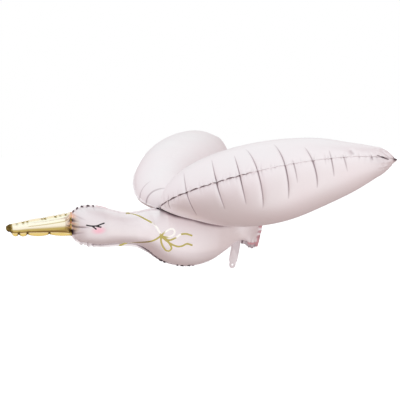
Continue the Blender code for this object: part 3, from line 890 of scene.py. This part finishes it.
def makeBeak():
    cols = pillowColumns(beak["faceColumns"])
    piece, ring, column = addBall("beak_foil", beak["rings"], cols["count"])
    angle, sign, lip, end, flat = (cols[key] for key in ("angle", "sign", "lip", "end", "flat"))
    tall = float(bodyHeight(1, 0) - bodyHeight(2, 0))
    middle = float(bodyHeight(1, 0) + bodyHeight(2, 0)) / 2
    fine = np.linspace(0, 1, 20001)
    crowd = fine + 0.12 * fine ** 0.5 - 0.25 * (1 - fine) ** 0.5
    places = spacedPlaces(fine, crowd, beak["rings"])
    places[1] = 1e-5
    share = np.repeat(places[:, None], cols["count"], 1)
    along = share * (beak["length"] - beak["shortBy"])
    upRim, lowRim = (curveValue(beak[name], 1, share) for name in ("upperRim", "lowerRim"))
    top = curveValue(beak["outline"], 1, share) * tall - upRim
    bottom = curveValue(beak["outline"], 2, share) * tall + lowRim
    closing = np.clip((1 - share) * beak["length"] / 0.012, 0, 1)
    closing = np.sqrt(1 - (1 - closing) ** 2)
    centre = (top + bottom) / 2
    half = np.maximum((top - bottom) / 2, 0.001) * closing
    puffed = np.clip((along - beak["strip"]) / (beak["length"] - beak["strip"]), 0, 1)
    bulge = curveValue(beak["outline"], 3, puffed) * tall * closing
    height = half * np.cos(angle)
    fromTop = arcFromSeam(half, bulge, angle)
    fromBottom = arcFromSeam(half, bulge, math.pi - angle)

    def tucks(rows, arc):
        near = sum(strength * bump(along, place / 1000, beak["tuckWidth"]) for place, strength in rows)
        return near, near * np.clip(1 - arc / beak["tuckReach"], 0, 1) ** 1.5

    upTuck, upPress = tucks(beak["upperTucks"], fromTop)
    lowTuck, lowPress = tucks(beak["lowerTucks"], fromBottom)
    ends = np.array([place for place, _ in beak["lowerTucks"]]) / 1000
    before = np.clip(np.searchsorted(ends, along) - 1, 0, len(ends) - 2)
    belly = np.clip((along - ends[before]) / (ends[before + 1] - ends[before]), 0, 1)
    belly = np.sin(math.pi * belly) ** 0.8
    pleats = weldDark(height, along, beak["pleatReach"])
    atTip = np.clip((share - beak["crumpleFrom"]) / 0.04, 0, 1) * np.clip((1 - share) / 0.01, 0, 1)
    facets = np.sin(height / 0.0021 + along / 0.0045) + np.sin(height / 0.0035 - along / 0.0029)
    pressed = (beak["tuckDepth"] * (upPress + lowPress) + 0.0016 * pleats
               + beak["crumple"] * (0.6 + 0.4 * facets) * atTip)
    # each stretch of rim bellies towards the left side and tucks back at its gathers
    sway = np.where(end > 0, (upTuck - 0.4) * beak["upperSway"], (0.5 - belly) * beak["lowerSway"])
    sway = sway * np.clip(np.minimum(share, 1 - share) / 0.06, 0, 1) * lip
    tipWave = beak["tipWave"] * np.sin(height / beak["tipWaveStep"] + 1) * atTip
    inwardAcross, inwardOut = inwardWays(cols, half, bulge, beak["seamPull"])
    across = height + inwardAcross * pressed
    out = np.maximum(bulge * np.sin(angle) + inwardOut * pressed, 0) + seam["halfThickness"]
    out = sign * out + sway + weldWave(height, along) + tipWave
    scallop = 1 - np.where(end > 0, 0.35 * upTuck, beak["arc"] * (1 - belly))
    across = across + lip * end * np.where(end > 0, upRim, lowRim) * np.clip(scallop, 0.4, 1)
    x = -body["notchAlong"] * body["length"] - along
    spots = np.stack([np.broadcast_to(x, out.shape), out, middle + centre + across], -1)
    spots[0] = (x[0, 0], 0, middle + centre[0, 0])
    spots[-1] = (x[-1, 0], 0, middle + centre[-1, 0])
    # painted shade in the tucks, the pleats, the gathered lower rim and the crumpled tip
    shade = 0.7 * upPress + 0.7 * lowPress + pleats
    shade += np.where(flat, np.where(end > 0, 0.5 * upTuck, 1.3 * lowTuck), 0) + 1.5 * atTip
    # painted reflection: a thin dark line along the flank and darker gold below it
    turn = np.degrees(np.broadcast_to(angle, share.shape))
    lineTurn = np.interp(share, beak["linePlaces"], beak["lineTurn"])
    line = bump(turn, lineTurn, beak["lineWidth"])
    within = np.minimum(share - beak["linePlaces"][0], beak["lineEnd"] - share)
    line = line * np.clip(within / 0.05, 0, 1)
    darkerReflection = np.clip((turn - beak["darkReflectionFrom"]) / (beak["darkReflectionFull"] - beak["darkReflectionFrom"]), 0, 1) * ~flat
    marks = {
        # the fold mark holds painted shade, the deep mark a painted darker reflection
        "foldShade": np.clip(shade, 0, 2),
        "band": np.clip(1.4 - along / beak["strip"], 0, 1),
        "lowerRim": np.broadcast_to(np.where(flat & (end < 0), lip, 0), share.shape),
        "darkReflection": np.clip(darkerReflection + 0.8 * line, 0, 1),
    }
    return finishPiece(piece, spots, ring, column, marks, 60)


beakFoil = makeBeak()

# Inflation tab


def makeTab():
    # a flat strip with a narrower round head that holds the ribbon hole
    up = Vector((tab["lean"], 0, tab["drop"])).normalized()
    across = Vector((up.z, 0, -up.x))
    top = math.hypot(tab["lean"], tab["drop"]) + tab["rootDepth"]
    radius = tab["headWidth"] / 2
    bpy.ops.object.select_all(action="DESELECT")
    bpy.ops.mesh.primitive_grid_add(x_subdivisions=28, y_subdivisions=96, size=2)
    piece = bpy.context.object
    piece.name = piece.data.name = "inflation_tab"
    for vert in piece.data.vertices:
        share = (vert.co.y + 1) / 2
        height = -radius * 0.9995 + (top + radius) * share ** 1.25
        if height < 0:
            wide = math.sqrt(radius ** 2 - height ** 2)
        else:
            ease = min(max((height - tab["headStraight"]) / tab["shoulder"], 0), 1)
            ease = ease * ease * (3 - 2 * ease)
            wide = radius + (tab["width"] / 2 - radius) * ease
        side = vert.co.x * wide
        edge = wide - abs(side)
        # pressed weld lines beside the edge and along the filling channel
        relief = tab["weldDepth"] * math.exp(-((edge - tab["weldInset"]) / tab["weldWidth"]) ** 2)
        if height > tab["channelFrom"]:
            away = (abs(side) - tab["channel"]) / tab["channelLine"]
            relief += tab["channelDepth"] * math.exp(-away ** 2)
        wave = 0.0016 * math.sin(height / 0.021 + 0.6) + 0.0010 * math.sin(side / 0.008 + height / 0.03)
        spot = up * height + across * side + Vector((0, wave * min(max(height, 0) / 0.03, 1) - relief, 0))
        vert.co = spot
    bpy.ops.object.mode_set(mode="EDIT")
    bpy.ops.mesh.select_all(action="SELECT")
    bpy.ops.mesh.remove_doubles(threshold=0.00005)
    bpy.ops.mesh.normals_make_consistent(inside=False)
    bpy.ops.object.mode_set(mode="OBJECT")
    # the tab's grey tint goes into the fold mark, stronger in the pressed weld lines
    layer = piece.data.attributes.new("foldShade", "FLOAT", "POINT")
    for vert, value in zip(piece.data.vertices, layer.data):
        value.value = tab["tint"] + min(max(-vert.co.y / 0.0006, 0), 1) * tab["weldTint"]
    skin = piece.modifiers.new("two foils", "SOLIDIFY")
    skin.thickness = tab["thickness"]
    skin.offset = 0
    bpy.ops.object.modifier_apply(modifier=skin.name)
    bpy.ops.object.select_all(action="DESELECT")
    bpy.ops.mesh.primitive_cylinder_add(vertices=40, radius=tab["hole"] / 2, depth=0.02,
                                        rotation=(math.pi / 2, 0, 0))
    punch = bpy.context.object
    hole = piece.modifiers.new("ribbon hole", "BOOLEAN")
    hole.operation = "DIFFERENCE"
    hole.solver = "EXACT"
    hole.object = punch
    bpy.context.view_layer.objects.active = piece
    bpy.ops.object.modifier_apply(modifier=hole.name)
    bpy.data.objects.remove(punch)
    piece.select_set(True)
    bpy.ops.object.shade_smooth_by_angle(angle=math.radians(35))
    print("Made", piece.name, len(piece.data.polygons), "faces")
    return piece


tabFoil = makeTab()

# Materials


def toLinear(code):
    # an sRGB hex colour as linear values
    parts = [int(code[at:at + 2], 16) / 255 for at in (1, 3, 5)]
    return [part / 12.92 if part <= 0.04045 else ((part + 0.055) / 1.055) ** 2.4 for part in parts] + [1]


def addNode(tree, kind, values=None, links=None, **settings):
    # one node with its settings, socket values and incoming links
    node = tree.nodes.new(kind)
    for name, value in settings.items():
        setattr(node, name, value)
    for socket, value in (values or {}).items():
        node.inputs[socket].default_value = value
    for socket, source in (links or {}).items():
        tree.links.new(source, node.inputs[socket])
    return node


def newMaterial(name):
    material = bpy.data.materials.new(name)
    material.use_nodes = True
    tree = material.node_tree
    return material, tree, tree.nodes["Principled BSDF"]


def attributeMask(tree, name, inside, outside):
    # 1 where the attribute is at inside, easing to 0 at outside
    source = addNode(tree, "ShaderNodeAttribute", attribute_name=name)
    return addNode(tree, "ShaderNodeMapRange", {1: inside, 2: outside, 3: 1, 4: 0},
                   {0: source.outputs["Fac"]}, interpolation_type="SMOOTHSTEP").outputs[0]


def layCoats(tree, tint, colours, coats):
    # lays coats of colour over each other: its name, the mark that shows it, and the values
    # at which the mark shows it fully and not at all
    for name, mark, full, gone in coats:
        mask = attributeMask(tree, mark, full, gone)
        tint = addNode(tree, "ShaderNodeMix", {7: toLinear(colours[name])}, {0: mask, 6: tint},
                       data_type="RGBA").outputs[2]
    return tint


pinkFoil = {
    # the two fold colours are painted shade; the rim, reddish, glow and shine colours are painted
    # highlight and painted reflection; blush, ink and gold are print
    "base": "#F4EFF0", "warm": "#F5EAEC", "foldShade": "#A8979C", "deepShade": "#3C2A30", "rimHighlight": "#FFFBFB",
    "reddishReflection": "#CB9298", "goldReflection": "#FBC9B4", "blush": "#FBC8D5", "ink": "#2B2528", "gold": "#BDB06A",
    "paintedGlint": "#FFFCF6",
    "metallic": 0.60, "roughness": 0.44,
    "patch": 160.0,          # mm, soft drift of the tint over the foil
    "haze": 14.0,            # mm, faint unevenness of the satin coating
}


def satinFoil(name, printed=False):
    # metallised nylon film with a satin pink coat: soft wide sheen, paler where it faces up
    material, tree, shader = newMaterial(name)
    place = addNode(tree, "ShaderNodeTexCoord").outputs["Object"]
    patch = addNode(tree, "ShaderNodeTexNoise", {"Scale": 1000 / pinkFoil["patch"], "Detail": 1.0},
                    {"Vector": place}).outputs["Fac"]
    haze = addNode(tree, "ShaderNodeTexNoise", {"Scale": 1000 / pinkFoil["haze"], "Detail": 3.0},
                   {"Vector": place}).outputs["Fac"]
    tint = addNode(tree, "ShaderNodeMix", {6: toLinear(pinkFoil["base"]), 7: toLinear(pinkFoil["warm"])},
                   {0: patch}, data_type="RGBA").outputs[2]
    # painted highlight on the rims, then painted shade from the fold mark in two steps
    coats = [("rimHighlight", "rimHighlight", 1, 0), ("foldShade", "foldShade", 1.0, 0.05), ("deepShade", "foldShade", 2.0, 1.0)]
    if printed:
        eye, ribbon = prints["eyeWidth"], prints["goldWidth"]
        # painted reddish reflection and painted gold reflection, then the printed blush and eye lines
        coats += [("reddishReflection", "reddishReflection", 1, 0), ("goldReflection", "goldReflection", 1, 0),
                  ("blush", "blushAway", 0.2, 1.15), ("ink", "eyeAway", eye - 0.4, eye + 0.5)]
    tint = layCoats(tree, tint, pinkFoil, coats)
    smooth, dull = pinkFoil["roughness"] - 0.03, pinkFoil["roughness"] + 0.04
    rough = addNode(tree, "ShaderNodeMapRange", {1: 0.3, 2: 0.7, 3: smooth, 4: dull},
                    {0: haze}).outputs[0]
    shader.inputs["Metallic"].default_value = pinkFoil["metallic"]
    if printed:
        gold = attributeMask(tree, "goldAway", ribbon - 0.4, ribbon + 0.5)
        # painted highlight where the printed ribbon glints
        lit = addNode(tree, "ShaderNodeMix",
                      {6: toLinear(pinkFoil["gold"]), 7: toLinear(pinkFoil["paintedGlint"])},
                      {0: attributeMask(tree, "paintedGlint", 0.6, 0.2)}, data_type="RGBA").outputs[2]
        tint = addNode(tree, "ShaderNodeMix", links={0: gold, 6: tint, 7: lit},
                       data_type="RGBA").outputs[2]
        metal = addNode(tree, "ShaderNodeMix", {2: pinkFoil["metallic"], 3: 1.0}, {0: gold},
                        data_type="FLOAT").outputs[0]
        rough = addNode(tree, "ShaderNodeMix", {3: 0.25}, {0: gold, 2: rough},
                        data_type="FLOAT").outputs[0]
        tree.links.new(metal, shader.inputs["Metallic"])
    tree.links.new(tint, shader.inputs["Base Color"])
    tree.links.new(rough, shader.inputs["Roughness"])
    relief = addNode(tree, "ShaderNodeBump", {"Strength": 0.05, "Distance": 0.001}, {"Height": haze})
    tree.links.new(relief.outputs[0], shader.inputs["Normal"])
    return material


goldFoil = {
    # the three darker golds, all but band and ruffle, are painted reflection and painted shade
    "base": "#FCF5E0", "ruffle": "#E7CB7E", "darkReflection": "#A38F4C", "darkestShade": "#462A0E", "band": "#D9A066",
    "lowerReflection": "#BFA962",
    "roughness": 0.10,
    "crumple": 11.0,         # mm, small crumples of the thin film
}


def mirrorFoil(name):
    # vacuum-metallised gold film: a true mirror that shows bright bands, with painted shade in its dark
    # gaps and folds and a darker painted reflection on its lower flank
    material, tree, shader = newMaterial(name)
    place = addNode(tree, "ShaderNodeTexCoord").outputs["Object"]
    crumple = addNode(tree, "ShaderNodeTexNoise", {"Scale": 1000 / goldFoil["crumple"], "Detail": 2.0},
                      {"Vector": place}).outputs["Fac"]
    tint = addNode(tree, "ShaderNodeMix", {6: toLinear(goldFoil["base"]), 7: toLinear(goldFoil["ruffle"])},
                   {0: attributeMask(tree, "lowerRim", 0.2, 0)}, data_type="RGBA").outputs[2]
    # the lower flank's painted darker reflection, the weld's band, then painted shade in two steps
    tint = layCoats(tree, tint, goldFoil, [("lowerReflection", "darkReflection", 1, 0), ("band", "band", 1, 0.2),
                                           ("darkReflection", "foldShade", 1, 0), ("darkestShade", "foldShade", 1.9, 1)])
    tree.links.new(tint, shader.inputs["Base Color"])
    shader.inputs["Metallic"].default_value = 1.0
    shader.inputs["Roughness"].default_value = goldFoil["roughness"]
    relief = addNode(tree, "ShaderNodeBump", {"Strength": 0.25, "Distance": 0.002}, {"Height": crumple})
    tree.links.new(relief.outputs[0], shader.inputs["Normal"])
    return material


def plainSurface(name, code, roughness):
    material, tree, shader = newMaterial(name)
    place = addNode(tree, "ShaderNodeTexCoord").outputs["Object"]
    grain = addNode(tree, "ShaderNodeTexNoise", {"Scale": 40.0}, {"Vector": place}).outputs["Fac"]
    tint = addNode(tree, "ShaderNodeMix", {6: toLinear(code), 7: toLinear("#FFFFFF")},
                   {0: grain}, data_type="RGBA").outputs[2]
    tree.links.new(tint, shader.inputs["Base Color"])
    shader.inputs["Roughness"].default_value = roughness
    return material


def dress(piece, material, node):
    piece.data.materials.clear()
    piece.data.materials.append(material)
    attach(piece, "root")
    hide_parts(node)


wingMaterial = satinFoil("satin pink wing foil")
dress(leftWing, wingMaterial, "left_wing")
dress(rightWing, wingMaterial, "right_wing")
dress(bodyFoil, satinFoil("satin pink foil with prints", printed=True), "body")
dress(tabFoil, wingMaterial, "body")
dress(beakFoil, mirrorFoil("mirror gold foil"), "beak")
print("Materials set")

# Floor, lights and camera

studio = {
    "floorDrop": 1.3, "floorSize": 60.0,
    "floorGlow": 0.3,        # keeps the floor as white as the backdrop
    "skyStrength": 1.15,
    # colour by elevation: the white room over a darker floor, the wide softbox in front of
    # the balloon, the shaded side of the room and a grey card behind that draws the edges
    "around": [(-50, "#A28E89"), (-20, "#CDBEBF"), (10, "#ECE9EC"), (90, "#F0F8F8")],
    "front": [(-90, "#F8F5F5"), (-20, "#EDEAEA"), (90, "#F7FAFB")],
    "right": [(-50, "#C8BAB8"), (-20, "#B6A29D"), (10, "#B6A19E"), (90, "#D0C5C8")],
    "back": [(-50, "#A28E89"), (-20, "#8E8281"), (5, "#A79C9B"), (30, "#F0F6F6")],
    # where each stands, in degrees from straight in front, and how wide: full and fading out
    "sectors": {"back": (153, 12, 36), "right": (70, 20, 60), "front": (0, 25, 75)},
}


def addFloor():
    bpy.ops.object.select_all(action="DESELECT")
    bpy.ops.mesh.primitive_plane_add(size=studio["floorSize"], location=(0, 0, -studio["floorDrop"]))
    floor = bpy.context.object
    floor.name = "studio_floor"
    material = plainSurface("white studio floor", "#F7F7F8", 0.8)
    shader = material.node_tree.nodes["Principled BSDF"]
    shader.inputs["Emission Color"].default_value = (1, 1, 1, 1)
    shader.inputs["Emission Strength"].default_value = studio["floorGlow"]
    floor.data.materials.append(material)
    # the floor is seen but doesn't light the balloon or keep the sky's light from below off it
    floor.visible_diffuse = False
    floor.visible_glossy = False
    floor.visible_shadow = False


def addSky():
    # the light comes from a white room with one wide softbox in front, fixed in the room
    world = bpy.data.worlds.new("white studio")
    bpy.context.scene.world = world
    world.use_nodes = True
    tree = world.node_tree
    tree.nodes.clear()
    way = addNode(tree, "ShaderNodeTexCoord").outputs["Generated"]
    axes = addNode(tree, "ShaderNodeSeparateXYZ", links={0: way})
    height = addNode(tree, "ShaderNodeMapRange", {1: -1, 2: 1}, {0: axes.outputs["Z"]}).outputs[0]
    bands = {}
    for name in ("around", *studio["sectors"]):
        node = addNode(tree, "ShaderNodeValToRGB", links={0: height})
        stops = node.color_ramp.elements
        while len(stops) < len(studio[name]):
            stops.new(0.5)
        for stop, (elevation, code) in zip(stops, studio[name]):
            stop.position = (math.sin(math.radians(elevation)) + 1) / 2
            stop.color = toLinear(code)
        bands[name] = node.outputs[0]
    level = addNode(tree, "ShaderNodeCombineXYZ",
                    links={0: axes.outputs["X"], 1: axes.outputs["Y"]}).outputs[0]
    level = addNode(tree, "ShaderNodeVectorMath", links={0: level}, operation="NORMALIZE").outputs[0]
    colour = bands["around"]
    for name, (azimuth, inner, outer) in studio["sectors"].items():
        turn = math.radians(azimuth)
        facing = addNode(tree, "ShaderNodeVectorMath", {1: (math.sin(turn), -math.cos(turn), 0)},
                         {0: level}, operation="DOT_PRODUCT").outputs["Value"]
        limits = {1: math.cos(math.radians(outer)), 2: math.cos(math.radians(inner))}
        mask = addNode(tree, "ShaderNodeMapRange", limits, {0: facing},
                       interpolation_type="SMOOTHSTEP").outputs[0]
        colour = addNode(tree, "ShaderNodeMix", links={0: mask, 6: colour, 7: bands[name]},
                         data_type="RGBA").outputs[2]
    lit = addNode(tree, "ShaderNodeBackground", {1: studio["skyStrength"]}, {0: colour})
    seen = addNode(tree, "ShaderNodeBackground", {0: (1, 1, 1, 1), 1: 1.0})
    path = addNode(tree, "ShaderNodeLightPath")
    both = addNode(tree, "ShaderNodeMixShader",
                   links={0: path.outputs["Is Camera Ray"], 1: lit.outputs[0], 2: seen.outputs[0]})
    addNode(tree, "ShaderNodeOutputWorld", links={0: both.outputs[0]})


shot = {
    "azimuth": -26.51, "elevation": 6.095,      # degrees, as in the photo
    "distance": 4.116, "right": 0.1879, "up": 0.0329,
    "focalPixels": 913.4, "framePixels": 400, "sensor": 36.0,
}


def addCamera():
    turn, lift = math.radians(shot["azimuth"]), math.radians(shot["elevation"])
    right = Vector((math.cos(turn), math.sin(turn), 0))
    back = Vector((math.sin(turn) * math.cos(lift), -math.cos(turn) * math.cos(lift), math.sin(lift)))
    up = back.cross(right)
    bpy.ops.object.camera_add()
    camera = bpy.context.object
    camera.location = (Vector(notch) + right * shot["right"] + up * shot["up"]
                       + back * shot["distance"])
    camera.rotation_euler = (-back).to_track_quat("-Z", "Y").to_euler()
    camera.data.sensor_width = shot["sensor"]
    camera.data.lens = shot["focalPixels"] * shot["sensor"] / shot["framePixels"]
    bpy.context.scene.camera = camera


addFloor()
addSky()
addCamera()
bpy.context.scene.view_settings.view_transform = "Standard"
print("Stage, lights and camera set")
